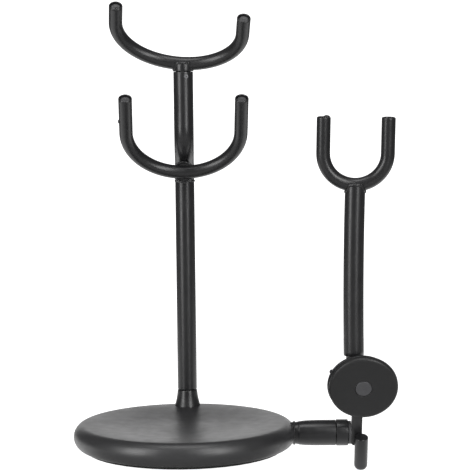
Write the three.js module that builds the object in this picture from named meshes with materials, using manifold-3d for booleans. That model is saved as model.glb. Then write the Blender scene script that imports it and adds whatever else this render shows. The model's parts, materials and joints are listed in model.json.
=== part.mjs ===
// Eyeglasses display stand: a weighted disc base, a main post with two U-shaped yokes, and a side post
// with a smaller yoke on an arm that leaves the right side of the base. Powder-coated steel tube and rod.
// Millimetres, +Z up, +X to the arm, -Y to the front. Origin: centre of the base's underside.
import * as THREE from "three";
import { mergeVertices } from "three/addons/utils/BufferGeometryUtils.js";
import Module from "manifold-3d";

const wasm = await Module();
wasm.setup();

// ---- driving dimensions -------------------------------------------------------------------------
const GAP = 0.3; // clearance left between neighbouring pieces
const TUBE_SIDES = 20;
const TUBE_R = 8.15; // 16 mm tube with its coating
const WALL = 1.5;
const ROD_R = 5.6; // 11 mm rod and tube of the yokes, with its coating

const BASE_R = 90;
const BASE_T = 21.2; // height of the rim crest
const RIM_ROUND = 8.6;
const DISH_DEPTH = 4.2;
const BASE_SIDES = 44;
const SHELL = 2.5; // thickness of the pressed cover
const FOOT_PAD_T = 2;

const POST_X = 0.4;
const POST_Y = 77.5; // the main post stands on the rear of the rim
const FOOT_TOP = 35;
const FOOT_WASHER_Z = 16.9; // under the cover's top, at the post's screw
const POST_TOP = 213; // where the straight lower post ends
const UPPER_X = 1.2;
const UPPER_Y = 44; // the upper post stands further forward
const UPPER_BEND_TOP = 258;
const UPPER_TOP = 305;

const LOWER_YOKE = { half: 46.9, bend: 41.5, straight: 35.2, lean: 36, yaw: 1.8, roll: 0.5 };
const LOWER_YOKE_AT = [0.3, 52, 221.7];
const UPPER_YOKE = { half: 51.5, bend: 38, straight: 17.8, lean: 43, yaw: -1, roll: 6 };
const GRUB_Z = 301; // height of the screw that locks the top yoke
const GRUB_TURN = 20; // and its turn to the right of the front
const UPPER_YOKE_AT = [UPPER_X - 4.6, UPPER_Y, 312];
const YOKE_STEPS = 26;
const YOKE_SIDES = 12;
const SIDE_YOKE = { half: 25.6, bend: 25.2, straight: 28.9, lean: 6.5, roll: 1 };

const SIDE_X = 138.3; // side post at its top
const SIDE_FOOT_X = 136.6; // and at its foot
const SIDE_Y = -16;
const SIDE_FOOT_Z = 77;
const SIDE_YOKE_Z = 213.9;

const ARM_Z = 11.4;
const SLEEVE_R = 10.4;
const SLEEVE_END = 122.6; // along X, as are the next two
const COLLAR = [123, 132.4];
const COLLAR_R = 10.7;
const SPACER = [132.7, 135];
const CORE_R = 7.6;
const NECK_R = 2.9; // the core's thin inner end, inside the base
const NECK_END = 60;
const SOCKET = [69, 80]; // the block that carries the neck, along X

const CLAMP_LEAN = 22; // the clamp's plane leans forward by this much
const LUG_X = 139.6; // centre of the lug on the arm's end
const LUG_W = 8.6;
const LUG_T = 6.6;
const LUG_LOW = -10.6; // from the arm's axis, in the clamp's plane, as are the next three
const STUD_UP = 48.2;
const PEG = [-29, 1.5];
const PEG_TRAVEL = 17;
const KNOB_X = 143.5;
const KNOB_R = 27.7;
const KNOB_T = 5.2;
const STUD_R = 3;
const FRICTION_DISC = { r: 27, left: 1.7, tab: 152 };
const PEG_X = 143;
const PEG_R = 5.45;
const PEG_SCREW = { x: 140.2, up: -5, r: 1.8 };

// ---- materials ----------------------------------------------------------------------------------
const coat = new THREE.MeshStandardMaterial({ color: 0x17171a, roughness: 0.42, metalness: 0.1 });
const knobCoat = new THREE.MeshStandardMaterial({ color: 0x1a1a1c, roughness: 0.6, metalness: 0 });
const steel = new THREE.MeshStandardMaterial({ color: 0x6d6e70, roughness: 0.4, metalness: 1 });
const castIron = new THREE.MeshStandardMaterial({ color: 0x3b3b3d, roughness: 0.8, metalness: 0.6 });
const rubber = new THREE.MeshStandardMaterial({ color: 0x101010, roughness: 0.9, metalness: 0 });
const plastic = new THREE.MeshStandardMaterial({ color: 0x141415, roughness: 0.55, metalness: 0 });

// ---- helpers ------------------------------------------------------------------------------------
const radians = THREE.MathUtils.degToRad;
const point = (x, y, z) => new THREE.Vector3(x, y, z);
const UP = point(0, 0, 1);

// A closed geometry as a manifold solid.
function solid(geometry) {
  const bare = geometry.clone();
  bare.deleteAttribute("normal");
  bare.deleteAttribute("uv");
  const merged = mergeVertices(bare, 1e-4);
  return new wasm.Manifold(
    new wasm.Mesh({
      numProp: 3,
      vertProperties: merged.attributes.position.array,
      triVerts: new Uint32Array(merged.index.array),
    }),
  );
}

// A manifold solid back as a geometry.
function geometryOf(body) {
  const mesh = body.getMesh();
  const position = new THREE.BufferAttribute(new Float32Array(mesh.vertProperties), 3);
  return new THREE.BufferGeometry()
    .setAttribute("position", position)
    .setIndex(new THREE.BufferAttribute(new Uint32Array(mesh.triVerts), 1));
}

function cut(geometry, ...tools) {
  return geometryOf(tools.reduce((body, tool) => body.subtract(solid(tool)), solid(geometry)));
}

function join(geometry, ...others) {
  return geometryOf(others.reduce((body, other) => body.add(solid(other)), solid(geometry)));
}

// A solid of revolution about Z from [radius, height] points.
function turned(profile, segments = 20) {
  const points = profile.map(([r, z]) => new THREE.Vector2(r, z));
  return new THREE.LatheGeometry(points, segments).rotateX(Math.PI / 2);
}

// A rod about Z from z0 to z1, its edges chamfered.
function rod(r, z0, z1, chamfer = 0, segments = 14) {
  const c = chamfer;
  const profile = c
    ? [[0, z0], [r - c, z0], [r, z0 + c], [r, z1 - c], [r - c, z1], [0, z1]]
    : [[0, z0], [r, z0], [r, z1], [0, z1]];
  return turned(profile, segments);
}

// A ring about Z with a bore r0.
function ring(r0, r1, z0, z1, chamfer = 0.4, segments = 18) {
  const c = chamfer;
  return turned(
    [[r0, z0], [r1 - c, z0], [r1, z0 + c], [r1, z1 - c], [r1 - c, z1], [r0, z1], [r0, z0]],
    segments,
  );
}

const box = (x, y, z) => new THREE.BoxGeometry(x, y, z);

// Turns a piece made about Z so that it lies along +X.
const alongX = (geometry) => geometry.rotateY(Math.PI / 2);

// A circle of the given number of sides.
const circle = (r, sides) => new THREE.EllipseCurve(0, 0, r, r).getPoints(sides).slice(0, -1);

// A round bar swept along a curve.
function swept(curve, r, steps, sides = 20) {
  const section = new THREE.Shape(circle(r, sides));
  return new THREE.ExtrudeGeometry(section, { extrudePath: curve, steps, curveSegments: 1 });
}

// A round tube swept along a curve.
function sweptTube(curve, r, wall, steps, sides = TUBE_SIDES) {
  const section = new THREE.Shape(circle(r, sides));
  section.holes.push(new THREE.Path(circle(r - wall, sides)));
  return new THREE.ExtrudeGeometry(section, { extrudePath: curve, steps, curveSegments: 1 });
}

// The U of a yoke in its own XZ plane: two straight prongs and a half-ellipse, lowest point at 0.
class YokeCurve extends THREE.Curve {
  constructor({ half, bend, straight }, over = 0) {
    super();
    Object.assign(this, { half, bend, straight: straight + over });
    this.arc = (Math.PI * (3 * (half + bend) - Math.sqrt((3 * half + bend) * (half + 3 * bend)))) / 2;
  }
  getPoint(t, target = new THREE.Vector3()) {
    const { half, bend, straight, arc } = this;
    const s = t * (arc + 2 * straight);
    if (s < straight) return target.set(-half, 0, bend + straight - s);
    if (s > straight + arc) return target.set(half, 0, bend + s - straight - arc);
    const angle = Math.PI + ((s - straight) / arc) * Math.PI;
    return target.set(half * Math.cos(angle), 0, bend + bend * Math.sin(angle));
  }
}

// A yoke's tube, open at both tips to take its end plugs.
function yokeTube(size) {
  const tube = swept(new YokeCurve(size), ROD_R, YOKE_STEPS, YOKE_SIDES);
  const tip = size.bend + size.straight;
  const bores = [-1, 1].map((side) =>
    rod(ROD_R - 1.3, tip - 9, tip + 1).translate(side * size.half, 0, 0),
  );
  return cut(tube, ...bores);
}

// A recessed end plug for a yoke's tip.
function yokePlug(size, side) {
  const tip = size.bend + size.straight;
  const r = ROD_R - 1.3 - 0.15;
  const profile = [
    [0, tip - 8.5],
    [r - 0.6, tip - 8.5],
    [r, tip - 7.9],
    [r, tip - 1.1],
    [r - 0.9, tip - 0.5],
    [0, tip - 0.35],
  ];
  return turned(profile, 24).translate(side * size.half, 0, 0);
}

// A named mesh, added to a group.
function piece(name, geometry, material, group) {
  const mesh = new THREE.Mesh(geometry, material);
  mesh.name = name;
  group.add(mesh);
}

const stand = new THREE.Group();

// ---- base ---------------------------------------------------------------------------------------
const FLOOR_Z = FOOT_PAD_T; // underside of the bottom plate
const PLATE_T = 2;
const BALLAST = [FLOOR_Z + PLATE_T + GAP, BASE_T - DISH_DEPTH - SHELL - GAP];

// The dished top from the axis to the crest, raised by offset.
function dish(offset) {
  const points = [];
  const steps = 5;
  const reach = BASE_R - RIM_ROUND;
  for (let i = 0; i <= steps; i++) {
    const r = (reach * i) / steps;
    const rise = THREE.MathUtils.smoothstep(r, reach * 0.25, reach);
    points.push([r, BASE_T - DISH_DEPTH * (1 - rise) + offset]);
  }
  return points;
}

// The rounded rim from the crest down to the lower edge.
function rim(r, height) {
  const points = [];
  const steps = 7;
  for (let i = 1; i <= steps; i++) {
    const angle = Math.PI / 2 - (i / steps) * Math.PI * 0.86;
    const z = height / 2 + FLOOR_Z / 2 + (height / 2 - FLOOR_Z / 2) * Math.sin(angle);
    points.push([BASE_R - RIM_ROUND + (r + RIM_ROUND - BASE_R) * Math.cos(angle), z]);
  }
  return points;
}

function baseOutline(grow) {
  return [...dish(grow), ...rim(BASE_R + grow, BASE_T + grow)].reverse();
}

// The space that the base takes, with a gap round it.
function baseSpace() {
  const outline = baseOutline(GAP);
  return turned([[0, 0], [outline[0][0], 0], ...outline], BASE_SIDES);
}

function baseCover() {
  const inner = [...dish(-SHELL), ...rim(BASE_R - SHELL, BASE_T - SHELL)];
  const shell = turned([...baseOutline(0), ...inner, baseOutline(0)[0]], BASE_SIDES);
  const neckHole = alongX(rod(NECK_R + 0.6, SOCKET[1] - 4, BASE_R + 5)).translate(0, 0, ARM_Z);
  const screwHole = rod(3.2, 0, BASE_T + 5).translate(POST_X, POST_Y, 0);
  return cut(shell, neckHole, screwHole);
}

function buildBase() {
  const plateR = BASE_R - RIM_ROUND + 2;
  piece("base_cover", baseCover(), coat, stand);

  const armPocket = box(44, 30, 60).translate(70, 0, 10);
  const places = [60, 180, 300].map((angle) => point(50, 0, 0).applyAxisAngle(UP, radians(angle)));
  const holes = places.map((p) => rod(2.3, -5, 30, 0, 20).translate(p.x, p.y, 0));
  piece("ballast_plate", cut(rod(71, ...BALLAST, 0.8, 36), armPocket, ...holes), castIron, stand);
  piece("bottom_plate", cut(rod(plateR, FLOOR_Z, FLOOR_Z + PLATE_T, 0.4, BASE_SIDES), ...holes), coat, stand);
  places.forEach((p, i) => {
    const screw = join(rod(3.8, 0.5, FLOOR_Z - GAP, 0.3, 24), rod(1.95, 1, 11, 0.4, 20));
    const drive = rod(1.2, 0, 1.1, 0, 6);
    piece("bottom_screw_" + (i + 1), cut(screw, drive).translate(p.x, p.y, 0), steel, stand);
  });
  piece("centre_foot", rod(12, 0, FLOOR_Z - GAP, 0.4, 24), rubber, stand);
  piece("foot_ring", ring(plateR - 13, plateR - 3, 0, FLOOR_Z - GAP, 0.4, BASE_SIDES), rubber, stand);
}

// ---- main post ----------------------------------------------------------------------------------
// The flared foot that stands on the rim, with a spigot up into the tube and a threaded hole.
function postFoot() {
  const flare = turned(
    [
      [0, 10],
      [11.4, 10],
      [11.2, 17],
      [10.8, 21],
      [10.1, 23.5],
      [9.5, 26],
      [9, 28.5],
      [8.6, 31.5],
      [8.2, FOOT_TOP - 0.6],
      [7.4, FOOT_TOP - GAP],
      [TUBE_R - WALL - GAP, FOOT_TOP - GAP],
      [TUBE_R - WALL - GAP, FOOT_TOP + 24],
      [TUBE_R - WALL - 1.3, FOOT_TOP + 25],
      [0, FOOT_TOP + 25],
    ],
    24,
  ).translate(POST_X, POST_Y, 0);
  return cut(flare, baseSpace(), rod(3.2, 0, 50).translate(POST_X, POST_Y, 0));
}

// A hex-headed screw about Z: head from z0 down, shank from z0 up.
function hexScrew(shankR, headR, headT, length) {
  const head = rod(headR, -headT, 0, 0.4, 6);
  return join(rod(shankR, -1, length, 0.5, 20), head);
}

// The lower post's straight tube.
function lowerPost() {
  const bore = TUBE_R - WALL;
  return ring(bore, TUBE_R, FOOT_TOP, POST_TOP, 0.5, TUBE_SIDES).translate(POST_X, POST_Y, 0);
}

// The upper post: an S-bend forward from the lower post's top, then straight up to the yoke.
class UpperPath extends THREE.CurvePath {
  constructor() {
    super();
    const bendTop = point(UPPER_X, UPPER_Y, UPPER_BEND_TOP);
    this.add(
      new THREE.CubicBezierCurve3(
        point(POST_X, POST_Y, POST_TOP + GAP),
        point(POST_X, POST_Y, POST_TOP + 22),
        point(UPPER_X, UPPER_Y, POST_TOP + 22),
        bendTop,
      ),
    );
    this.add(new THREE.LineCurve3(bendTop, point(UPPER_X, UPPER_Y, UPPER_TOP)));
  }
}

// Places a piece made along Z so that it points out of the upper post, a little right of the front.
function atGrubScrew(geometry) {
  return geometry
    .rotateX(Math.PI / 2)
    .rotateZ(radians(GRUB_TURN))
    .translate(UPPER_X, UPPER_Y, GRUB_Z);
}

function upperPost() {
  const tube = sweptTube(new UpperPath(), TUBE_R, WALL, 14);
  return cut(tube, atGrubScrew(rod(2.2, 3, 12)));
}

// Turns a yoke made upright so that it leans forward, rolls and yaws, and moves it to its place.
function placeYoke(geometry, { lean, yaw = 0, roll = 0 }, [x, y, z]) {
  return geometry
    .rotateX(radians(lean))
    .rotateY(radians(roll))
    .rotateZ(radians(yaw))
    .translate(x, y, z);
}

// The space that a yoke's tube takes, with a gap round it.
function yokeSpace(size, at) {
  return placeYoke(swept(new YokeCurve(size), ROD_R + GAP, YOKE_STEPS, YOKE_SIDES), size, at);
}

// The stub that carries the lower yoke in front of the post's joint.
function lowerYokeBoss() {
  const [x, y, z] = LOWER_YOKE_AT;
  const stub = rod(TUBE_R, y + 1, POST_Y - 4, 0, 28).rotateX(-Math.PI / 2).translate(x, 0, z);
  const post = rod(TUBE_R + GAP, 150, POST_TOP + 0.4).translate(POST_X, POST_Y, 0);
  const upper = swept(new UpperPath(), TUBE_R + GAP, 14, TUBE_SIDES);
  const cutStub = cut(stub, post, upper, yokeSpace(LOWER_YOKE, LOWER_YOKE_AT));
  const bodies = solid(cutStub).decompose();
  bodies.sort((a, b) => b.volume() - a.volume());
  return geometryOf(bodies[0]);
}

// The top yoke's spigot: a head under the yoke's tube and a grooved pin down into the post.
function upperYokeSpigot() {
  const pin = TUBE_R - WALL - 0.4;
  const groove = pin - 0.8;
  const spigot = turned(
    [
      [0, 272],
      [pin - 1, 272],
      [pin, 273],
      [pin, GRUB_Z - 3],
      [groove, GRUB_Z - 2.4],
      [groove, GRUB_Z + 2.4],
      [pin, GRUB_Z + 3],
      [pin, UPPER_TOP + GAP],
      [TUBE_R - 0.5, UPPER_TOP + GAP],
      [TUBE_R, UPPER_TOP + 0.8],
      [TUBE_R, UPPER_YOKE_AT[2]],
      [0, UPPER_YOKE_AT[2]],
    ],
    20,
  ).translate(UPPER_X, UPPER_Y, 0);
  return cut(spigot, yokeSpace(UPPER_YOKE, UPPER_YOKE_AT));
}

function buildYoke(name, size, at) {
  piece(name, placeYoke(yokeTube(size), size, at), coat, stand);
  for (const [side, where] of [[-1, "left"], [1, "right"]]) {
    piece(name + "_" + where + "_plug", placeYoke(yokePlug(size, side), size, at), plastic, stand);
  }
}

function buildMainPost() {
  piece("post_foot", postFoot(), coat, stand);
  const washer = ring(NECK_R + 0.35, 4.4, FOOT_WASHER_Z, FOOT_WASHER_Z + 0.7, 0.1, 24);
  piece("post_washer", washer.translate(POST_X, POST_Y, 0), steel, stand);
  const screw = hexScrew(2.9, 4.7, 3.6, 28).translate(POST_X, POST_Y, FOOT_WASHER_Z - GAP);
  piece("post_screw", screw, steel, stand);
  piece("lower_post", lowerPost(), coat, stand);
  const coupling = rod(TUBE_R - WALL - 0.4, POST_TOP - 18, POST_TOP + 1.5, 0.6, 18);
  piece("post_coupling", coupling.translate(POST_X, POST_Y, 0), steel, stand);
  piece("upper_post", upperPost(), coat, stand);
  piece("lower_yoke_boss", lowerYokeBoss(), coat, stand);
  buildYoke("lower_yoke", LOWER_YOKE, LOWER_YOKE_AT);
  piece("upper_yoke_spigot", upperYokeSpigot(), coat, stand);
  buildYoke("upper_yoke", UPPER_YOKE, UPPER_YOKE_AT);
  const grub = rod(1.9, TUBE_R - WALL - 0.8, TUBE_R + 0.1, 0.25, 20);
  const driveHole = rod(0.9, TUBE_R - 1.2, TUBE_R + 2, 0, 6);
  piece("yoke_grub_screw", atGrubScrew(cut(grub, driveHole)), steel, stand);
}

// ---- arm ----------------------------------------------------------------------------------------
const onArm = (geometry) => alongX(geometry).translate(0, 0, ARM_Z);

// The sleeve welded to the rim: its inner end is rounded and fits the rim.
function armSleeve() {
  const shoulder = BASE_R + 4;
  const sleeve = turned(
    [
      [NECK_R + 0.4, BASE_R - 8],
      [8.9, BASE_R - 8],
      [9.2, BASE_R - 0.5],
      [9.9, shoulder - 2],
      [SLEEVE_R, shoulder + 1],
      [SLEEVE_R, SLEEVE_END - 0.8],
      [SLEEVE_R - 0.6, SLEEVE_END],
      [CORE_R + GAP, SLEEVE_END],
      [CORE_R + GAP, shoulder],
      [NECK_R + 0.4, shoulder],
      [NECK_R + 0.4, BASE_R - 8],
    ],
    28,
  );
  return cut(onArm(sleeve), baseSpace());
}

// The core that turns in the sleeve, with a thinner neck into the base.
function armCore() {
  const shoulder = BASE_R + 4 + GAP;
  return onArm(
    turned(
      [
        [0, NECK_END],
        [NECK_R - 0.5, NECK_END],
        [NECK_R, NECK_END + 0.5],
        [NECK_R, shoulder],
        [CORE_R - 0.4, shoulder],
        [CORE_R, shoulder + 0.4],
        [CORE_R, SPACER[1]],
        [0, SPACER[1]],
      ],
      22,
    ),
  );
}

function armSocket() {
  const [from, to] = SOCKET;
  const block = box(to - from, 20, 12).translate((from + to) / 2, 0, 10.3);
  return cut(block, onArm(rod(NECK_R + 0.4, from - 5, to + 5)));
}

function buildArm() {
  piece("arm_socket", armSocket(), steel, stand);
  piece("arm_sleeve", armSleeve(), coat, stand);
  piece("arm_core", armCore(), coat, stand);
  const lockWasher = ring(NECK_R + 0.4, 5.6, SOCKET[0] - 1.6, SOCKET[0] - GAP, 0.2, 28);
  piece("arm_lock_washer", onArm(lockWasher), steel, stand);
  const nut = cut(rod(5.4, 61.6, 67, 0.3, 6), rod(NECK_R + 0.3, 50, 80));
  piece("arm_lock_nut", onArm(nut), steel, stand);
}

// ---- clamp at the arm's end, in a frame on the arm's axis that leans forward ----------------------
const clamp = new THREE.Group();
clamp.position.set(0, 0, ARM_Z);
clamp.rotation.x = radians(CLAMP_LEAN);
stand.add(clamp);

// Turns a piece made about Z so that it lies along +Y, through the point (x, up).
const alongY = (geometry, x, up) => geometry.rotateX(-Math.PI / 2).translate(x, 0, up);

const KNOB_BACK = -LUG_T / 2 - 3;
const KNOB_FRONT = KNOB_BACK - KNOB_T;
const TANG = [LUG_T / 2 + GAP, LUG_T / 2 + GAP + 4.6]; // the side post's tang, behind the lug

// The lug: a bar across the arm's end with an eye for the stud and a slot for the peg's screw.
function clampLug() {
  const bar = box(LUG_W, LUG_T, STUD_UP - LUG_LOW).translate(LUG_X, 0, (STUD_UP + LUG_LOW) / 2);
  const eye = alongY(rod(10, -LUG_T / 2, LUG_T / 2, 0.4, 24), KNOB_X, STUD_UP);
  const { x, up, r } = PEG_SCREW;
  const slotR = r + 0.35;
  const slot = box(2 * slotR, 20, PEG_TRAVEL).translate(x, 0, up + PEG_TRAVEL / 2);
  const ends = [up, up + PEG_TRAVEL].map((z) => alongY(rod(slotR, -10, 10, 0, 20), x, z));
  return cut(join(bar, eye), slot, ...ends, alongY(rod(STUD_R + 0.3, -10, 10), KNOB_X, STUD_UP));
}

function armCollar() {
  const collar = alongX(ring(CORE_R + GAP, COLLAR_R, ...COLLAR, 0.8, 28));
  const middle = (COLLAR[0] + COLLAR[1]) / 2;
  return cut(collar, rod(2.3, 4, 14).rotateX(Math.PI / 2).translate(middle, 0, 0));
}

function collarSetScrew() {
  const middle = (COLLAR[0] + COLLAR[1]) / 2;
  const screw = cut(rod(1.95, CORE_R + 0.4, COLLAR_R - 0.2, 0.25, 20), rod(0.95, 9.6, 12, 0, 6));
  return screw.rotateX(Math.PI / 2).translate(middle, 0, 0);
}

// The round knob: a bevelled disc with a shallow recess for its screw.
function clampKnob() {
  const recess = [6.8, 2.3];
  const knob = turned(
    [
      [STUD_R + 0.3, KNOB_FRONT + recess[1]],
      [recess[0], KNOB_FRONT + recess[1]],
      [recess[0] + 0.3, KNOB_FRONT],
      [KNOB_R - 1.6, KNOB_FRONT],
      [KNOB_R - 0.4, KNOB_FRONT + 0.7],
      [KNOB_R, KNOB_FRONT + 1.9],
      [KNOB_R, KNOB_BACK - 0.8],
      [KNOB_R - 0.8, KNOB_BACK],
      [STUD_R + 0.3, KNOB_BACK],
      [STUD_R + 0.3, KNOB_FRONT + recess[1]],
    ],
    44,
  );
  return alongY(knob, KNOB_X, STUD_UP);
}

// The disc between the knob and the lug, set a little to the left, with a small tab on its edge.
function frictionDisc() {
  const [from, to] = [KNOB_BACK + GAP, -LUG_T / 2 - GAP];
  const { r, left, tab } = FRICTION_DISC;
  const disc = alongY(rod(r, from, to, 0.5, 44), KNOB_X - left, STUD_UP);
  const place = point(r - 0.3, 0, 0).applyAxisAngle(point(0, -1, 0), radians(tab));
  const bump = alongY(rod(1.7, from, to, 0.4, 14), KNOB_X - left + place.x, STUD_UP + place.z);
  return cut(join(disc, bump), alongY(rod(STUD_R + 0.3, -20, 20), KNOB_X, STUD_UP));
}

function knobScrew() {
  const head = rod(6.2, KNOB_FRONT + 0.6, KNOB_FRONT + 2, 0.3, 24);
  const drive = rod(2, KNOB_FRONT - 2, KNOB_FRONT + 1.4, 0, 6);
  const shank = rod(STUD_R - 0.05, KNOB_FRONT + 1.8, TANG[1] + 8, 0.4, 18);
  return alongY(cut(join(head, shank), drive), KNOB_X, STUD_UP);
}

// The peg below the arm's end, with a blind hole for its screw.
function dropPeg() {
  const y = -LUG_T / 2 - GAP - PEG_R;
  const peg = turned(
    [
      [0, PEG[0]],
      [2.6, PEG[0] + 0.3],
      [4.4, PEG[0] + 1.3],
      [PEG_R, PEG[0] + 3.2],
      [PEG_R, PEG[1] - 1.2],
      [PEG_R - 1.2, PEG[1]],
      [0, PEG[1]],
    ],
    22,
  ).translate(PEG_X, y, 0);
  return cut(peg, alongY(rod(PEG_SCREW.r + 0.3, y, 10), PEG_SCREW.x, PEG_SCREW.up));
}

function pegScrew() {
  const back = LUG_T / 2 + GAP;
  const head = rod(3.3, back, back + 2.2, 0.4, 24);
  const shank = rod(PEG_SCREW.r, -LUG_T / 2 - GAP - PEG_R + 0.6, back + 1, 0.3, 20);
  const drive = rod(1.1, back + 1, back + 5, 0, 6);
  return alongY(cut(join(head, shank), drive), PEG_SCREW.x, PEG_SCREW.up);
}

function buildClamp() {
  piece("arm_collar", armCollar(), coat, clamp);
  piece("collar_set_screw", collarSetScrew(), steel, clamp);
  piece("arm_spacer", alongX(ring(CORE_R + GAP, 9.4, ...SPACER, 0.3, 24)), plastic, clamp);
  piece("clamp_lug", clampLug(), coat, clamp);
  piece("clamp_knob", clampKnob(), knobCoat, clamp);
  piece("knob_screw", knobScrew(), steel, clamp);
  piece("friction_disc", frictionDisc(), coat, clamp);
  const back = ring(STUD_R + 0.3, 7, TANG[1] + GAP, TANG[1] + GAP + 1.4, 0.2, 20);
  piece("back_washer", alongY(back, KNOB_X, STUD_UP), steel, clamp);
  const nut = cut(rod(6.1, TANG[1] + 2, TANG[1] + 7, 0.4, 6), rod(STUD_R + 0.25, 0, 30));
  piece("clamp_nut", alongY(nut, KNOB_X, STUD_UP), steel, clamp);
  piece("drop_peg", dropPeg(), coat, clamp);
  piece("peg_screw", pegScrew(), steel, clamp);
}

// ---- side post ----------------------------------------------------------------------------------
const SIDE_YOKE_AT = [SIDE_X - 0.25, SIDE_Y, SIDE_YOKE_Z];

// The side post's slightly bowed centre line.
function sideCurve() {
  return new THREE.QuadraticBezierCurve3(
    point(SIDE_FOOT_X, SIDE_Y, SIDE_FOOT_Z),
    point(SIDE_FOOT_X - 0.6, SIDE_Y, (SIDE_FOOT_Z + SIDE_YOKE_Z) / 2),
    point(SIDE_X, SIDE_Y, SIDE_YOKE_Z - 1),
  );
}

function sidePost() {
  const tube = sweptTube(sideCurve(), TUBE_R, WALL, 6);
  const bodies = solid(cut(tube, yokeSpace(SIDE_YOKE, SIDE_YOKE_AT))).decompose();
  bodies.sort((a, b) => b.volume() - a.volume());
  return geometryOf(bodies[0]);
}

// The tang: an eye behind the lug, a web up to the tube and a plug inside it.
function sideTang() {
  clamp.updateMatrix();
  const [from, to] = TANG;
  const eye = alongY(rod(10, from, to, 0.3, 24), KNOB_X, STUD_UP);
  const web = box(13, to - from, 17).translate(SIDE_FOOT_X + 2.5, (from + to) / 2, STUD_UP + 7.5);
  const plate = cut(join(eye, web), alongY(rod(STUD_R + 0.3, -10, 20), KNOB_X, STUD_UP));
  plate.applyMatrix4(clamp.matrix);
  const plug = rod(TUBE_R - WALL - 0.4, SIDE_FOOT_Z - 8, SIDE_FOOT_Z + 18, 0.6, 18);
  return join(plate, plug.translate(SIDE_FOOT_X, SIDE_Y, 0));
}

function buildSidePost() {
  piece("side_tang", sideTang(), coat, stand);
  piece("side_post", sidePost(), coat, stand);
  buildYoke("side_yoke", SIDE_YOKE, SIDE_YOKE_AT);
}

buildBase();
buildMainPost();
buildArm();
buildClamp();
buildSidePost();

export default stand;
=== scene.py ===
"""Eyeglasses display stand: the fine visual model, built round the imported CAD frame.
Lengths in this file are millimetres unless a name says otherwise; MM turns them into metres."""
import json
import math
import random

import bmesh
import bpy
from mathutils import Matrix, Vector


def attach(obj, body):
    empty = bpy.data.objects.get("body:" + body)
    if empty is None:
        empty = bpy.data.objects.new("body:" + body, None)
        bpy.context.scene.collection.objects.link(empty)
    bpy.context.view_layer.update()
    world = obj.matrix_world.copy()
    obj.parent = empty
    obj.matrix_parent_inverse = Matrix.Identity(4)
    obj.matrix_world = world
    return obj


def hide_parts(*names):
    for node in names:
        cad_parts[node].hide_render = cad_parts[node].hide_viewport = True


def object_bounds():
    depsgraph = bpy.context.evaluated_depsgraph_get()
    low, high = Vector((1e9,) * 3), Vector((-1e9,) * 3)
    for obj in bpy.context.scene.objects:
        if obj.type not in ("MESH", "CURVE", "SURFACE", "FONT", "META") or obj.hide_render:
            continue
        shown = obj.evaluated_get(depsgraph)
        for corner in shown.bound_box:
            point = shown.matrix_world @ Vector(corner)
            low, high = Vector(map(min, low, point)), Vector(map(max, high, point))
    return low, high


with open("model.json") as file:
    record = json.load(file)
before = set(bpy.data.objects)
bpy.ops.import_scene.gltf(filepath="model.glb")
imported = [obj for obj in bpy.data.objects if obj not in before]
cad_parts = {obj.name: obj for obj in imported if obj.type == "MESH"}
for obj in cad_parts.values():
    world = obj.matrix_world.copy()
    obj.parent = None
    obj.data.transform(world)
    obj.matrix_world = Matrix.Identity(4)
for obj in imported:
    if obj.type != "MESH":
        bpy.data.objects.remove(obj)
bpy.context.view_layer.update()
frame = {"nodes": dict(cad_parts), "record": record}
random.seed(7)

MM = 0.001
TAU = 2 * math.pi

# ---- sizes, the same as the CAD's ------------------------------------------------------------------
TUBE_R = 8.15
WALL = 1.5
ROD_R = 5.6
GAP = 0.3

BASE_R = 90
BASE_T = 21.2
RIM_ROUND = 8.6
DISH_DEPTH = 4.2
SHELL = 2.5
FLOOR_Z = 2

POST = (0.4, 77.5)
FOOT_TOP = 35
POST_TOP = 213
UPPER = (1.2, 44)
UPPER_BEND_TOP = 258
UPPER_TOP = 305

# Each yoke is a half ellipse of this half width and height with straight prongs above it. It leans
# forward, rolls and yaws (degrees) about its lowest point on the rod's centre line.
LOWER_YOKE = {
    "half": 46.9, "bend": 41.5, "straight": 35.2,
    "lean": 36, "yaw": 1.8, "roll": 0.5, "at": (0.3, 52, 221.7),
}
UPPER_YOKE = {
    "half": 51.5, "bend": 38, "straight": 17.8,
    "lean": 43, "yaw": -1, "roll": 6, "at": (-3.4, 44, 312),
}
SIDE_YOKE = {
    "half": 25.6, "bend": 25.2, "straight": 28.9,
    "lean": 6.5, "yaw": 0, "roll": 1, "at": (138.05, -16, 213.9),
}

SIDE_X = 138.3
SIDE_FOOT_X = 136.6
SIDE_Y = -16
SIDE_FOOT_Z = 77

ARM_Z = 11.4
SLEEVE_R = 10.4
SLEEVE_END = 122.6
COLLAR = (123, 132.4)
COLLAR_R = 10.7
SPACER = (132.7, 135)
CORE_R = 7.6

CLAMP_LEAN = 22
LUG_X = 139.6
LUG_W = 8.6
LUG_T = 6.6
LUG_LOW = -10.6
STUD_UP = 48.2
KNOB_X = 143.5
KNOB_R = 27.7
KNOB_T = 5.2
KNOB_BACK = -LUG_T / 2 - 3
KNOB_FRONT = KNOB_BACK - KNOB_T
DISC = {"r": 27, "left": 1.7, "tab": 152}
PEG_X = 143
PEG_R = 5.45
PEG = (-29, 1.5)

# ---- mesh helpers ----------------------------------------------------------------------------------


def rounded(points, radius, steps=4):
    """An open outline with its inner corners turned into arcs of at most this radius."""
    out = [Vector(points[0])]
    for before, corner, after in zip(points, points[1:], points[2:]):
        corner = Vector(corner)
        a, b = Vector(before) - corner, Vector(after) - corner
        reach = min(radius, 0.45 * a.length, 0.45 * b.length)
        start, end = corner + a.normalized() * reach, corner + b.normalized() * reach
        for i in range(steps + 1):
            t = i / steps
            out.append(start.lerp(corner, t).lerp(corner.lerp(end, t), t))
    out.append(Vector(points[-1]))
    return [tuple(p) for p in out]


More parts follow.
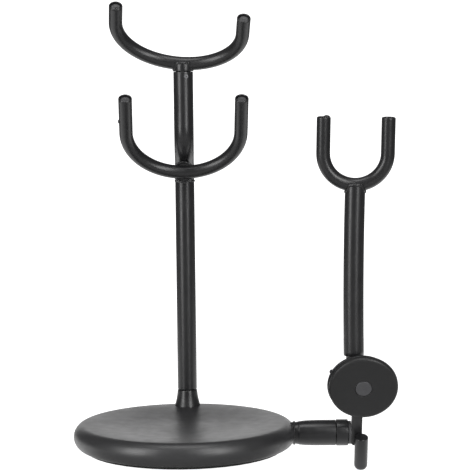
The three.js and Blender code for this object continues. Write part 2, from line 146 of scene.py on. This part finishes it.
def add_piece(name, verts, faces, body, node, slot, material):
    """A smooth mesh piece in millimetres that rides on a body and stands for a CAD node."""
    mesh = bpy.data.meshes.new(name)
    mesh.from_pydata([Vector(v) * MM for v in verts], [], faces)
    bm = bmesh.new()
    bm.from_mesh(mesh)
    bmesh.ops.remove_doubles(bm, verts=bm.verts, dist=1e-7)
    bmesh.ops.recalc_face_normals(bm, faces=bm.faces)
    bm.to_mesh(mesh)
    bm.free()
    mesh.polygons.foreach_set("use_smooth", [True] * len(mesh.polygons))
    mesh.materials.append(material)
    mesh.set_sharp_from_angle(angle=math.radians(50))
    piece = bpy.data.objects.new(name, mesh)
    bpy.context.scene.collection.objects.link(piece)
    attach(piece, body)
    if node:
        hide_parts(node)
    return piece


def rings_to_mesh(rings, closed=False):
    """Faces between rings of equally many points; unless closed, the ends are capped."""
    count = len(rings[0])
    verts = [p for ring in rings for p in ring]
    faces = []
    last = len(rings) if closed else len(rings) - 1
    for i in range(last):
        a, b = i * count, (i + 1) % len(rings) * count
        for j in range(count):
            k = (j + 1) % count
            faces.append((a + j, a + k, b + k, b + j))
    if not closed:
        faces.append(tuple(reversed(range(count))))
        faces.append(tuple((len(rings) - 1) * count + j for j in range(count)))
    return verts, faces


def lathe(profile, segments=128, closed=False):
    """A turned shape about Z from (radius, height) points."""
    rings = []
    for r, z in profile:
        r = max(r, 1e-3)
        rings.append([(r * math.cos(TAU * i / segments), r * math.sin(TAU * i / segments), z)
                      for i in range(segments)])
    return rings_to_mesh(rings, closed)


def moved(shape, matrix):
    """A (verts, faces) pair with its points moved."""
    verts, faces = shape
    return [tuple(matrix @ Vector(v)) for v in verts], faces


def shift(x, y, z):
    return Matrix.Translation((x, y, z))


def turn(degrees, axis):
    return Matrix.Rotation(math.radians(degrees), 4, axis)


ON_ARM = shift(0, 0, ARM_Z) @ turn(90, "Y")
CLAMP = shift(0, 0, ARM_Z) @ turn(CLAMP_LEAN, "X")


def on_stud(x, up):
    """From a piece made about Z to one about the clamp's own +Y, through (x, up)."""
    return CLAMP @ shift(x, 0, up) @ turn(-90, "X")


def circle(centre, a, b, radius, count):
    """Points on a circle in the plane of two unit vectors."""
    angles = (TAU * i / count for i in range(count))
    return [centre + (a * math.cos(t) + b * math.sin(t)) * radius for t in angles]


class Path:
    """A polyline with places and directions by distance along it."""

    def __init__(self, points):
        self.points = [Vector(p) for p in points]
        self.at = [0.0]
        for a, b in zip(self.points, self.points[1:]):
            self.at.append(self.at[-1] + (b - a).length)
        self.length = self.at[-1]

    def place(self, s):
        i = 0
        while i < len(self.points) - 2 and s > self.at[i + 1]:
            i += 1
        a, b = self.points[i], self.points[i + 1]
        return a + (b - a) * ((s - self.at[i]) / (self.at[i + 1] - self.at[i]))

    def direction(self, s):
        step = min(0.6, self.length / 50)
        low, high = max(s - step, 0), min(s + step, self.length)
        return (self.place(high) - self.place(low)).normalized()


def swept(path, stations, normal, segments=48):
    """A round bar along a flat path, from (distance, radius) stations and the path's plane normal."""
    normal = Vector(normal).normalized()
    rings = []
    for s, r in stations:
        centre = path.place(s)
        side = normal.cross(path.direction(s)).normalized()
        rings.append(circle(centre, normal, side, r, segments))
    return rings_to_mesh(rings)


def bead(centre_line, radius, name, body, material, segments=14):
    """A weld bead: a closed lumpy ring along a closed line of points."""
    rings = []
    count = len(centre_line)
    middle = sum((Vector(p) for p in centre_line), Vector()) / count
    for i, p in enumerate(centre_line):
        p = Vector(p)
        along = (Vector(centre_line[(i + 1) % count]) - Vector(centre_line[i - 1])).normalized()
        out = (p - middle)
        out = (out - along * out.dot(along)).normalized()
        up = along.cross(out)
        ripple = 1 + 0.1 * math.sin(i / count * TAU * 19) + random.uniform(-0.04, 0.04)
        rings.append(circle(p, out, up, radius * ripple, segments))
    verts, faces = rings_to_mesh(rings, closed=True)
    return add_piece(name, verts, faces, body, None, "black_coat", material)


# ---- materials -------------------------------------------------------------------------------------


def material(name, colour, rough, rough_spread, grain_mm, bump, metallic=0.0, specular=0.5, coat=0.0,
             wear=0.0):
    """A procedural finish: mottled roughness, a fine bump, and colour a little lighter on worn edges."""
    made = bpy.data.materials.new(name)
    made.use_nodes = True
    nodes, links = made.node_tree.nodes, made.node_tree.links
    shader = nodes["Principled BSDF"]
    shader.inputs["Metallic"].default_value = metallic
    shader.inputs["Specular IOR Level"].default_value = specular
    shader.inputs["Coat Weight"].default_value = coat
    shader.inputs["Coat Roughness"].default_value = 0.25
    place = nodes.new("ShaderNodeTexCoord")

    def noise(scale_mm, detail):
        made_noise = nodes.new("ShaderNodeTexNoise")
        made_noise.inputs["Scale"].default_value = 1 / (scale_mm * MM)
        made_noise.inputs["Detail"].default_value = detail
        links.new(place.outputs["Object"], made_noise.inputs["Vector"])
        return made_noise.outputs["Fac"]

    def spread(value, low, high):
        ranged = nodes.new("ShaderNodeMapRange")
        ranged.inputs["From Min"].default_value = 0.3
        ranged.inputs["From Max"].default_value = 0.7
        ranged.inputs["To Min"].default_value = low
        ranged.inputs["To Max"].default_value = high
        links.new(value, ranged.inputs["Value"])
        return ranged.outputs["Result"]

    links.new(spread(noise(9, 5), rough - rough_spread, rough + rough_spread), shader.inputs["Roughness"])
    tint = nodes.new("ShaderNodeMix")
    tint.data_type = "RGBA"
    tint.inputs["A"].default_value = (*[c * 0.88 for c in colour], 1)
    tint.inputs["B"].default_value = (*[c * 1.15 for c in colour], 1)
    links.new(noise(14, 4), tint.inputs["Factor"])
    out = tint.outputs["Result"]
    if wear:
        geometry = nodes.new("ShaderNodeNewGeometry")
        edge = nodes.new("ShaderNodeMapRange")
        edge.inputs["From Min"].default_value = 0.58
        edge.inputs["From Max"].default_value = 0.68
        edge.inputs["To Max"].default_value = wear
        links.new(geometry.outputs["Pointiness"], edge.inputs["Value"])
        worn = nodes.new("ShaderNodeMix")
        worn.data_type = "RGBA"
        worn.inputs["B"].default_value = (0.2, 0.2, 0.205, 1)
        links.new(edge.outputs["Result"], worn.inputs["Factor"])
        links.new(out, worn.inputs["A"])
        out = worn.outputs["Result"]
    links.new(out, shader.inputs["Base Color"])
    grain = nodes.new("ShaderNodeBump")
    grain.inputs["Strength"].default_value = bump
    grain.inputs["Distance"].default_value = 0.1 * MM
    links.new(noise(grain_mm, 3), grain.inputs["Height"])
    links.new(grain.outputs["Normal"], shader.inputs["Normal"])
    return made


COAT = material(
    "satin_powder_coat", (0.011, 0.011, 0.0118), 0.33, 0.04, 0.7, 0.05, specular=0.5, wear=0.05)
BASE_COAT = material(
    "base_powder_coat", (0.015, 0.015, 0.016), 0.42, 0.03, 0.7, 0.06, specular=0.72, wear=0.05)
KNOB = material(
    "knob_moulding", (0.014, 0.014, 0.0145), 0.42, 0.05, 0.6, 0.08, specular=0.4, wear=0.1)
PLASTIC = material("black_plastic", (0.05, 0.05, 0.052), 0.5, 0.05, 0.7, 0.1, specular=0.4)
STEEL = material("zinc_steel", (0.4, 0.4, 0.41), 0.36, 0.08, 0.5, 0.3, metallic=1.0)
BLACK_STEEL = material("blackened_steel", (0.1, 0.1, 0.105), 0.45, 0.08, 0.5, 0.3, metallic=0.7)
IRON = material("cast_iron", (0.08, 0.08, 0.08), 0.75, 0.08, 1.5, 0.9, metallic=0.5)
RUBBER = material("black_rubber", (0.018, 0.018, 0.018), 0.8, 0.06, 0.5, 0.6, specular=0.3)

BY_SLOT = {
    "black_coat": COAT, "knob_plastic": KNOB, "black_plastic": PLASTIC,
    "zinc_steel": STEEL, "ballast_iron": IRON, "rubber": RUBBER,
}


def dress_cad_nodes():
    """Every CAD node gets its slot's finish; the screws that show are blackened."""
    slots = {s["node"]: s["material_slot"] for s in frame["record"]["subparts"]}
    for name, node in frame["nodes"].items():
        node.data.materials.clear()
        blackened = name in ("knob_screw", "collar_set_screw", "yoke_grub_screw")
        node.data.materials.append(BLACK_STEEL if blackened else BY_SLOT[slots[name]])


# ---- base ------------------------------------------------------------------------------------------


def base_outline(grow, dish_steps, rim_steps):
    """The dished top from the axis to the crest, then the round rim down to its lower edge."""
    reach = BASE_R - RIM_ROUND
    points = []
    for i in range(dish_steps + 1):
        r = reach * i / dish_steps
        t = min(max((r - reach * 0.25) / (reach * 0.75), 0), 1)
        points.append((r, BASE_T - DISH_DEPTH * (1 - t * t * (3 - 2 * t)) + grow))
    height = BASE_T + grow
    for i in range(1, rim_steps + 1):
        angle = math.pi / 2 - i / rim_steps * math.pi * 0.86
        z = (height + FLOOR_Z) / 2 + (height - FLOOR_Z) / 2 * math.sin(angle)
        points.append((reach + (RIM_ROUND + grow) * math.cos(angle), z))
    return points


def build_base():
    outer = base_outline(0, 40, 36)
    inner = base_outline(-SHELL, 12, 14)
    verts, faces = lathe(outer + inner[::-1], 256)
    add_piece("base_cover_fine", verts, faces, "base", "base_cover", "black_coat", BASE_COAT)


# ---- main post -------------------------------------------------------------------------------------


def tube_profile(r, wall, low, high, round_r=0.5):
    """The closed outline of a straight tube with eased edges, for lathe."""
    edge = rounded([(r - wall, low + 1), (r - wall, low), (r, low), (r, low + 1)], round_r, 3)
    top = rounded([(r, high - 1), (r, high), (r - wall, high), (r - wall, high - 1)], round_r, 3)
    return edge + top


def bezier(a, b, c, d, steps):
    a, b, c, d = (Vector(p) for p in (a, b, c, d))
    for i in range(steps + 1):
        t = i / steps
        u = 1 - t
        yield a * u**3 + b * 3 * u * u * t + c * 3 * u * t * t + d * t**3


def build_lower_post():
    shape = moved(lathe(tube_profile(TUBE_R, WALL, FOOT_TOP, POST_TOP), 96, closed=True), shift(*POST, 0))
    add_piece("lower_post_fine", *shape, "base", "lower_post", "black_coat", COAT)
    flare = [
        (11.2, BASE_T - 9), (11.1, BASE_T - 3), (10.8, 21), (10.1, 23.5), (9.5, 26), (9, 28.5),
        (8.6, 31.5), (8.25, FOOT_TOP - 0.8), (7.5, FOOT_TOP - GAP), (0, FOOT_TOP - GAP),
    ]
    shape = moved(lathe([(0, BASE_T - 9)] + rounded(flare, 1.2, 4), 96), shift(*POST, 0))
    add_piece("post_foot_fine", *shape, "base", "post_foot", "black_coat", COAT)


def build_upper_post():
    bend = list(bezier((*POST, POST_TOP + GAP), (*POST, POST_TOP + 22), (*UPPER, POST_TOP + 22),
                       (*UPPER, UPPER_BEND_TOP), 40))
    path = Path(bend + [(*UPPER, UPPER_TOP)])
    stations = [(0, TUBE_R - 0.9), (0, TUBE_R - 0.5), (0.5, TUBE_R)]
    stations += [(path.length * i / 60, TUBE_R) for i in range(1, 60)]
    end = path.length
    stations += [(end - 0.6, TUBE_R), (end - 0.15, TUBE_R - 0.18), (end, TUBE_R - 0.6)]
    verts, faces = swept(path, stations, (1, 0, 0), 72)
    add_piece("upper_post_fine", verts, faces, "base", "upper_post", "black_coat", COAT)


# ---- yokes -----------------------------------------------------------------------------------------


def yoke_frame(size):
    return (shift(*size["at"]) @ turn(size["yaw"], "Z") @ turn(size["roll"], "Y")
            @ turn(size["lean"], "X"))


def yoke_path(size, steps=96):
    half, bend, straight = size["half"], size["bend"], size["straight"]
    points = [(-half, 0, bend + straight)]
    for i in range(steps + 1):
        a = math.pi + math.pi * i / steps
        points.append((half * math.cos(a), 0, bend + bend * math.sin(a)))
    points.append((half, 0, bend + straight))
    return Path(points)


def build_yoke(name, size, body):
    """The bent tube with eased, open tips, and a recessed plug in each."""
    path = yoke_path(size)
    bore = ROD_R - 1.3
    lip = [
        (6, bore), (1.6, bore), (0.8, bore + 0.03), (0.35, bore + 0.15), (0.08, bore + 0.4),
        (0, bore + 0.65), (0.06, ROD_R - 0.42), (0.25, ROD_R - 0.2), (0.6, ROD_R - 0.06), (1.1, ROD_R),
    ]
    middle = [(s * path.length / 120, ROD_R) for s in range(1, 120)]
    end = [(path.length - s, r) for s, r in reversed(lip)]
    verts, faces = swept(path, lip + middle + end, (0, 1, 0), 48)
    frame_matrix = yoke_frame(size)
    add_piece(name + "_fine", *moved((verts, faces), frame_matrix), body, name, "black_coat", COAT)
    tip = size["bend"] + size["straight"]
    for side, where in ((-1, "left"), (1, "right")):
        r = bore - 0.1
        profile = [
            (0, tip - 6), (r, tip - 6), (r, tip - 2.1), (r - 0.8, tip - 1.3), (r - 2, tip - 1.1),
            (0, tip - 1.5),
        ]
        place = frame_matrix @ shift(side * size["half"], 0, 0)
        shape = moved(lathe(rounded(profile, 0.6, 4), 48), place)
        plug = f"{name}_{where}_plug"
        add_piece(plug + "_fine", *shape, body, plug, "black_plastic", PLASTIC)


def saddle_line(centre, tube_r, rod_r, count=96, out=0.35):
    """Where an upright tube meets a rod that crosses over it: the tube's edge on the rod's underside."""
    x, y, z = centre
    points = []
    for i in range(count):
        a = TAU * i / count
        px, py = (tube_r + out) * math.cos(a), (tube_r + out) * math.sin(a)
        drop = math.sqrt(max(rod_r**2 - py * py, 0.0))
        points.append((x + px, y + py, z - drop))
    return points


def blob(name, centre, radii, body):
    """A small lump of coating: an uneven ellipsoid."""
    rings = []
    for i in range(13):
        a = math.pi * i / 12
        wide = max(math.sin(a), 0.02)
        ring = []
        for j in range(20):
            x = radii[0] * wide * math.cos(TAU * j / 20) * random.uniform(0.96, 1.04)
            y = radii[1] * wide * math.sin(TAU * j / 20) * random.uniform(0.96, 1.04)
            ring.append((x, y, radii[2] * math.cos(a)))
        rings.append(ring)
    shape = moved(rings_to_mesh(rings), shift(*centre))
    add_piece(name, *shape, body, None, "black_coat", COAT)


def on_yoke(size, x, y, up):
    return yoke_frame(size) @ Vector((x, y, up))


def build_spatter():
    """Small lumps where the coating ran: on the lower yoke's left side and at two left tips."""
    tip = SIDE_YOKE["bend"] + SIDE_YOKE["straight"]
    place = on_yoke(SIDE_YOKE, -SIDE_YOKE["half"] + 2.3, 1, tip - 0.6)
    blob("side_yoke_tip_burr", place, (2.9, 3.2, 2), "side_support")
    place = on_yoke(LOWER_YOKE, -LOWER_YOKE["half"] - ROD_R, 0, 53)
    blob("lower_yoke_spatter", place, (0.8, 1.2, 1.6), "base")
    tip = UPPER_YOKE["bend"] + UPPER_YOKE["straight"]
    place = on_yoke(UPPER_YOKE, -UPPER_YOKE["half"] + 2.2, -2.5, tip - 0.9)
    blob("upper_yoke_tip_burr", place, (2.4, 2, 1.5), "top_yoke")


def build_yokes():
    build_yoke("lower_yoke", LOWER_YOKE, "base")
    build_yoke("upper_yoke", UPPER_YOKE, "top_yoke")
    build_yoke("side_yoke", SIDE_YOKE, "side_support")
    build_spatter()


def build_boss():
    """The stub behind the lower yoke, its weld, and the post's joint weld."""
    x, y, z = LOWER_YOKE["at"]
    outline = rounded([(0, y), (TUBE_R, y), (TUBE_R, POST[1] - 2), (0, POST[1] - 2)], 0.4, 3)
    shape = moved(lathe(outline, 72), shift(x, 0, z) @ turn(-90, "X"))
    add_piece("lower_yoke_boss_fine", *shape, "base", "lower_yoke_boss", "black_coat", COAT)
    line = []
    for i in range(96):
        a = TAU * i / 96
        up, along = (TUBE_R + 0.2) * math.sin(a), (TUBE_R + 0.2) * math.cos(a)
        back = math.sqrt(max(ROD_R**2 - up * up, 0.0))
        line.append((x + along, y + back, z + up))
    bead(line, 1.0, "lower_yoke_weld", "base", COAT)
    ring = circle(Vector((*POST, POST_TOP)), Vector((1, 0, 0)), Vector((0, 1, 0)), TUBE_R - 0.2, 80)
    bead(ring, 0.8, "post_joint_weld", "base", COAT)


def build_spigot():
    x, y, z = UPPER_YOKE["at"]
    pin = TUBE_R - WALL - 0.4
    profile = [(0, UPPER_TOP - 20), (pin, UPPER_TOP - 20), (pin, UPPER_TOP + GAP), (TUBE_R, UPPER_TOP + GAP),
               (TUBE_R, z - 0.5), (0, z - 0.5)]
    shape = moved(lathe(rounded(profile, 0.4, 3), 72), shift(*UPPER, 0))
    add_piece("upper_yoke_spigot_fine", *shape, "top_yoke", "upper_yoke_spigot", "black_coat", COAT)
    line = saddle_line((*UPPER, z), TUBE_R, ROD_R, out=-0.6)
    bead(line, 1.2, "upper_yoke_weld", "top_yoke", COAT)


# ---- arm -------------------------------------------------------------------------------------------


def build_arm():
    inner = CORE_R + GAP
    shoulder = BASE_R + 4
    profile = [
        (3.3, BASE_R - 4), (8.9, BASE_R - 4), (8.9, BASE_R - 0.5), (9.1, BASE_R + 1.5),
        (9.6, shoulder - 0.8), (10.1, shoulder + 4), (SLEEVE_R, shoulder + 12),
        (SLEEVE_R, SLEEVE_END - 0.3), (SLEEVE_R - 0.3, SLEEVE_END), (inner, SLEEVE_END),
        (inner, shoulder), (3.3, shoulder),
    ]
    shape = moved(lathe(rounded(profile + [profile[0]], 0.5, 4)[:-1], 96, closed=True), ON_ARM)
    add_piece("arm_sleeve_fine", *shape, "base", "arm_sleeve", "black_coat", COAT)
    foot = circle(Vector((BASE_R - 1.2, 0, ARM_Z)), Vector((0, 1, 0)), Vector((0, 0, 1)), 8.9, 80)
    bead(foot, 0.8, "arm_weld", "base", COAT)
    collar = [
        (inner, COLLAR[0] + 2), (inner, COLLAR[0]), (COLLAR_R, COLLAR[0]), (COLLAR_R, COLLAR[1]),
        (inner, COLLAR[1]), (inner, COLLAR[0] + 2),
    ]
    shape = moved(lathe(rounded(collar, 0.35, 4)[:-1], 96, closed=True), ON_ARM)
    add_piece("arm_collar_fine", *shape, "arm", "arm_collar", "black_coat", COAT)
    spacer = [
        (inner, SPACER[0] + 1), (inner, SPACER[0]), (9.4, SPACER[0]), (9.4, SPACER[1]),
        (inner, SPACER[1]), (inner, SPACER[0] + 1),
    ]
    shape = moved(lathe(rounded(spacer, 0.3, 3)[:-1], 80, closed=True), ON_ARM)
    add_piece("arm_spacer_fine", *shape, "arm", "arm_spacer", "black_plastic", PLASTIC)


# ---- clamp -----------------------------------------------------------------------------------------


def bevelled(piece, width_mm, segments=3):
    bevel = piece.modifiers.new("eased_edges", "BEVEL")
    bevel.width = width_mm * MM
    bevel.segments = segments
    bevel.limit_method = "ANGLE"
    bevel.angle_limit = math.radians(40)
    bevel.harden_normals = False
    return piece


def plate_mesh(outline, thickness):
    """A flat plate in the clamp's XZ plane from an outline of (x, up) points."""
    count = len(outline)
    verts = [(x, -thickness / 2, z) for x, z in outline] + [(x, thickness / 2, z) for x, z in outline]
    faces = [tuple(range(count)), tuple(reversed(range(count, 2 * count)))]
    faces += [(i, i + count, (i + 1) % count + count, (i + 1) % count) for i in range(count)]
    return verts, faces


def lug_outline():
    """A bar from the arm up to a round eye for the stud."""
    low_x, high_x, eye = LUG_X - LUG_W / 2, LUG_X + LUG_W / 2, 10
    points = [
        (low_x, LUG_LOW + 1.5), (low_x + 1.5, LUG_LOW), (high_x - 1.5, LUG_LOW), (high_x, LUG_LOW + 1.5),
    ]
    meet = math.sqrt(eye**2 - (KNOB_X - low_x) ** 2)
    points.append((high_x, STUD_UP - 9.9))
    first = math.atan2(-9.9, high_x - KNOB_X)
    last = math.atan2(-meet, low_x - KNOB_X) + TAU
    for i in range(49):
        a = first + (last - first) * i / 48
        points.append((KNOB_X + eye * math.cos(a), STUD_UP + eye * math.sin(a)))
    return points


def build_lug():
    shape = moved(plate_mesh(lug_outline(), LUG_T), CLAMP)
    bevelled(add_piece("clamp_lug_fine", *shape, "arm", "clamp_lug", "black_coat", COAT), 0.6)


def build_knob():
    """The clamp's knob, with a round recess for its screw."""
    recess_r, recess_floor = 6.8, KNOB_FRONT + 2.3
    profile = [(3.3, recess_floor), (recess_r, recess_floor), (recess_r, KNOB_FRONT + 0.2)]
    profile += [(r, KNOB_FRONT) for r in (7.4, 10, 13, 16, 19, 22, 24.6)]
    profile += [
        (KNOB_R - 1.7, KNOB_FRONT + 0.1), (KNOB_R - 0.5, KNOB_FRONT + 0.8), (KNOB_R, KNOB_FRONT + 2.1),
        (KNOB_R, KNOB_BACK), (3.3, KNOB_BACK), (3.3, recess_floor + 0.5),
    ]
    shape = moved(lathe(rounded(profile, 0.55, 5), 192, closed=True), on_stud(KNOB_X, STUD_UP))
    add_piece("clamp_knob_fine", *shape, "knob", "clamp_knob", "knob_plastic", KNOB)


def build_friction_disc():
    """The disc behind the knob, a little off the stud's axis, with a small tab on its edge."""
    front, back = KNOB_BACK + GAP, -LUG_T / 2 - GAP
    x = KNOB_X - DISC["left"]
    disc = [(0, front), (DISC["r"], front), (DISC["r"], back), (0, back)]
    shape = moved(lathe(rounded(disc, 0.7, 5), 160), on_stud(x, STUD_UP))
    add_piece("friction_disc_fine", *shape, "arm", "friction_disc", "black_coat", COAT)
    tab, reach = math.radians(DISC["tab"]), DISC["r"] - 0.3
    front, back = KNOB_BACK + 0.45, -LUG_T / 2 - 0.45
    bump = [(0, front), (1.8, front), (1.8, back), (0, back)]
    place = on_stud(x + reach * math.cos(tab), STUD_UP + reach * math.sin(tab))
    shape = moved(lathe(rounded(bump, 0.7, 4), 32), place)
    add_piece("friction_disc_tab", *shape, "arm", None, "black_coat", COAT)


def build_knob_screw():
    """The screw whose shallow dished head lies almost flush in the knob's recess."""
    head = [(0, 0.75), (1.9, 0.72), (2.2, 0.6), (4.4, 0.35), (6.2, 0.1), (6.6, 0.5), (6.6, 2.2), (2.9, 2.25)]
    profile = [(r, KNOB_FRONT + back) for r, back in head] + [(2.9, 15), (0, 15)]
    shape = moved(lathe(rounded(profile, 0.5, 4), 64), on_stud(KNOB_X, STUD_UP))
    add_piece("knob_screw_fine", *shape, "knob", "knob_screw", "zinc_steel", BLACK_STEEL)


def build_peg():
    low, high = PEG
    profile = [
        (0, low), (2.6, low + 0.15), (4.4, low + 1.1), (5.2, low + 2.5), (PEG_R, low + 4),
        (PEG_R, high), (0, high),
    ]
    place = CLAMP @ shift(PEG_X, -LUG_T / 2 - GAP - PEG_R, 0)
    shape = moved(lathe(rounded(profile, 1.0, 5), 72), place)
    add_piece("drop_peg_fine", *shape, "peg", "drop_peg", "black_coat", COAT)


# ---- side post -------------------------------------------------------------------------------------


def build_side_post():
    top = SIDE_YOKE["at"][2]
    foot = Vector((SIDE_FOOT_X, SIDE_Y, SIDE_FOOT_Z))
    middle = Vector((SIDE_FOOT_X - 0.6, SIDE_Y, (SIDE_FOOT_Z + top) / 2))
    head = Vector((SIDE_X, SIDE_Y, top - 1))
    steps = (i / 40 for i in range(41))
    path = Path([foot * (1 - t) ** 2 + middle * 2 * t * (1 - t) + head * t * t for t in steps])
    stations = [(0, TUBE_R - 0.8), (0.1, TUBE_R - 0.4), (0.6, TUBE_R)]
    stations += [(path.length * i / 40, TUBE_R) for i in range(1, 40)] + [(path.length, TUBE_R)]
    verts, faces = swept(path, stations, (0, 1, 0), 72)
    # The top follows the rod's underside, so that the tube fits the yoke as a saddle.
    count = 72
    for i in range(len(verts) - count, len(verts)):
        x, y, z = verts[i]
        verts[i] = Vector((x, y, min(z, top + 0.4 - math.sqrt(max(ROD_R**2 - (y - SIDE_Y) ** 2, 0)))))
    add_piece("side_post_fine", verts, faces, "side_support", "side_post", "black_coat", COAT)
    line = saddle_line((SIDE_X, SIDE_Y, top), TUBE_R, ROD_R, out=-0.8)
    bead(line, 1.5, "side_yoke_weld", "side_support", COAT)


# ---- studio ----------------------------------------------------------------------------------------

STUDIO = {"wall": 0.15, "floor_glow": 1.0}
LIGHTS = (
    ("left_softbox", -50, 0.5, (0.45, 1.1), 11),
    ("right_softbox", 33, 0.65, (0.4, 1.2), 12),
)
CAMERA = {"target": (42.5, 0, 173.4), "pitch": 5.1, "roll": 0.6, "distance": 1408.75, "width": 378.35}


def build_camera():
    pitch = math.radians(CAMERA["pitch"])
    forward = Vector((0, math.cos(pitch), -math.sin(pitch)))
    camera = bpy.data.objects.new("camera", bpy.data.cameras.new("camera"))
    bpy.context.scene.collection.objects.link(camera)
    place = (Vector(CAMERA["target"]) - forward * CAMERA["distance"]) * MM
    aim = turn(90 - CAMERA["pitch"], "X") @ turn(-CAMERA["roll"], "Z")
    camera.matrix_world = Matrix.Translation(place) @ aim
    camera.data.sensor_width = 36
    camera.data.lens = 36 * CAMERA["distance"] / CAMERA["width"]
    bpy.context.scene.camera = camera


def soft_light(name, place_m, target_m, size_m, power, shape="RECTANGLE"):
    data = bpy.data.lights.new(name, "AREA")
    data.shape = shape
    data.size, data.size_y = size_m
    data.energy = power
    light = bpy.data.objects.new(name, data)
    light.location = place_m
    light.rotation_euler = (Vector(target_m) - Vector(place_m)).to_track_quat("-Z", "Y").to_euler()
    bpy.context.scene.collection.objects.link(light)


def build_studio():
    scene = bpy.context.scene
    scene.view_settings.view_transform = "Standard"
    world = bpy.data.worlds.new("studio")
    scene.world = world
    world.use_nodes = True
    nodes, links = world.node_tree.nodes, world.node_tree.links
    background = nodes["Background"]
    background.inputs["Strength"].default_value = 1.0
    # A pale cyclorama far behind the object, and dim walls everywhere else.
    direction = nodes.new("ShaderNodeTexCoord")
    behind = nodes.new("ShaderNodeSeparateXYZ")
    links.new(direction.outputs["Generated"], behind.inputs["Vector"])
    wall = nodes.new("ShaderNodeMapRange")
    wall.interpolation_type = "SMOOTHSTEP"
    wall.inputs["From Min"].default_value = math.cos(math.radians(30))
    wall.inputs["From Max"].default_value = math.cos(math.radians(20))
    wall.inputs["To Min"].default_value = STUDIO["wall"]
    wall.inputs["To Max"].default_value = 1.5
    links.new(behind.outputs["Y"], wall.inputs["Value"])
    links.new(wall.outputs["Result"], background.inputs["Color"])

    floor_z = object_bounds()[0][2] - 0.0005
    mesh = bpy.data.meshes.new("floor")
    edge = [(0.75 * math.cos(TAU * i / 96), 0.75 * math.sin(TAU * i / 96), floor_z) for i in range(96)]
    mesh.from_pydata(edge, [], [tuple(range(96))])
    floor = bpy.data.objects.new("floor", mesh)
    scene.collection.objects.link(floor)
    pale = bpy.data.materials.new("pale_floor")
    pale.use_nodes = True
    shader = pale.node_tree.nodes["Principled BSDF"]
    shader.inputs["Base Color"].default_value = (0.55, 0.55, 0.55, 1)
    shader.inputs["Roughness"].default_value = 0.9
    shader.inputs["Emission Color"].default_value = (1, 1, 1, 1)
    # The floor is lit from under its rear half, so that the front of the object stays contrasty.
    place = pale.node_tree.nodes.new("ShaderNodeTexCoord")
    parts = pale.node_tree.nodes.new("ShaderNodeSeparateXYZ")
    glow = pale.node_tree.nodes.new("ShaderNodeMapRange")
    glow.interpolation_type = "SMOOTHSTEP"
    glow.inputs["From Min"].default_value = -0.06
    glow.inputs["From Max"].default_value = 0.01
    glow.inputs["To Min"].default_value = 0.0
    glow.inputs["To Max"].default_value = STUDIO["floor_glow"]
    pale.node_tree.links.new(place.outputs["Object"], parts.inputs["Vector"])
    pale.node_tree.links.new(parts.outputs["Y"], glow.inputs["Value"])
    pale.node_tree.links.new(glow.outputs["Result"], shader.inputs["Emission Strength"])
    mesh.materials.append(pale)

    middle = (0.04, 0.0, 0.17)
    for name, azimuth, height, size, power in LIGHTS:
        angle = math.radians(azimuth)
        place = (middle[0] + 1.2 * math.sin(angle), -1.2 * math.cos(angle), height)
        soft_light(name, place, middle, size, power)
    soft_light("top_softbox", (0.0, -0.25, 1.3), middle, (0.8, 0.5), 5)


dress_cad_nodes()
build_base()
build_lower_post()
build_upper_post()
build_yokes()
build_boss()
build_spigot()
build_arm()
build_lug()
build_knob()
build_friction_disc()
build_knob_screw()
build_peg()
build_side_post()
build_camera()
build_studio()
